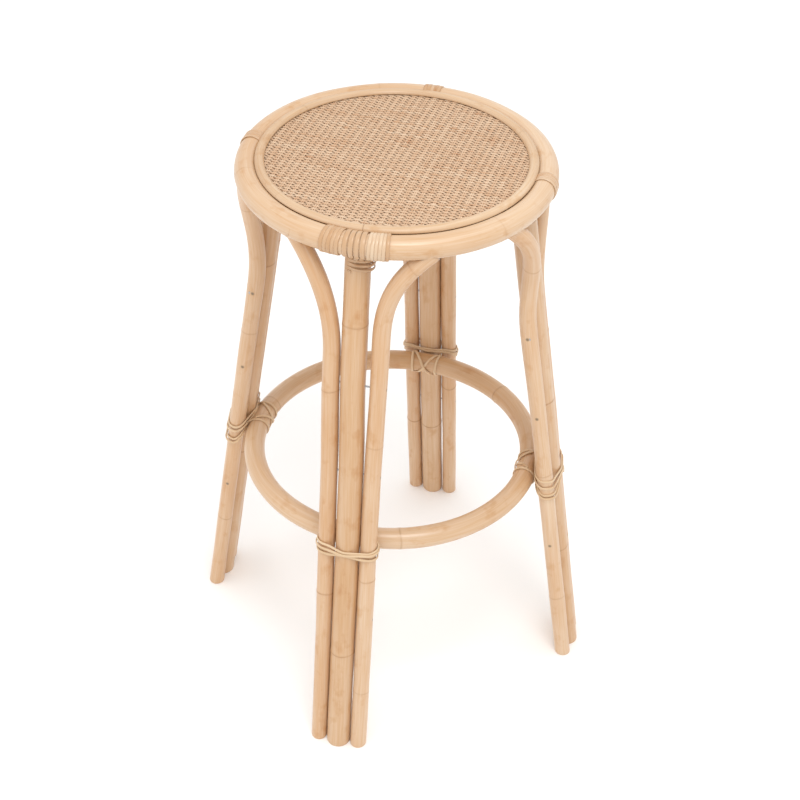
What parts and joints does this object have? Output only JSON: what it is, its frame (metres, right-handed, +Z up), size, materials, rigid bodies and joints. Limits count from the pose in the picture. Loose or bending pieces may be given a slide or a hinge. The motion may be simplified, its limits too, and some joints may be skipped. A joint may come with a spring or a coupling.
{
  "type": "bar stool",
  "caption": "Round rattan bar stool: woven cane seat in a bent pole ring, splayed legs of bundled poles with curved braces, and a lashed ring footrest.",
  "frame": {"origin": "on the floor, at the middle of the feet, under the middle of the seat", "axes": "+Z up; legs on -Y (front, with the wide binding), +X, +Y and -X"},
  "size_m": [0.5554, 0.5554, 0.748],
  "materials": {
    "rattan_pole": "satin varnished natural rattan pole",
    "rattan_peel": "satin natural rattan peel",
    "woven_cane": "satin woven rattan cane",
    "plywood": "sanded plywood",
    "steel_fastener": "bright zinc-plated steel"
  },
  "bodies": {
    "root": {"seat_ring": "rattan_pole", "seat_bead": "rattan_pole", "seat_cane": "woven_cane", "seat_board": "plywood", "footrest_ring": "rattan_pole", "front_leg_pole": "rattan_pole", "right_leg_pole": "rattan_pole", "back_leg_pole": "rattan_pole", "left_leg_pole": "rattan_pole", "front_brace_right": "rattan_pole", "front_brace_left": "rattan_pole", "right_brace_back": "rattan_pole", "right_brace_front": "rattan_pole", "back_brace_left": "rattan_pole", "back_brace_right": "rattan_pole", "left_brace_front": "rattan_pole", "left_brace_back": "rattan_pole", "front_ring_binding": "rattan_peel", "right_ring_binding": "rattan_peel", "back_ring_binding": "rattan_peel", "left_ring_binding": "rattan_peel", "front_leg_collar": "rattan_peel", "right_leg_collar": "rattan_peel", "back_leg_collar": "rattan_peel", "left_leg_collar": "rattan_peel", "front_lashing": "rattan_peel", "right_lashing": "rattan_peel", "back_lashing": "rattan_peel", "left_lashing": "rattan_peel", "ring_screws": "steel_fastener", "board_screws": "steel_fastener", "footrest_screws": "steel_fastener", "brace_end_nails": "steel_fastener", "brace_nails": "steel_fastener", "bead_brads": "steel_fastener", "ring_joint_nails": "steel_fastener", "footrest_joint_nails": "steel_fastener"}
  },
  "joints": []
}
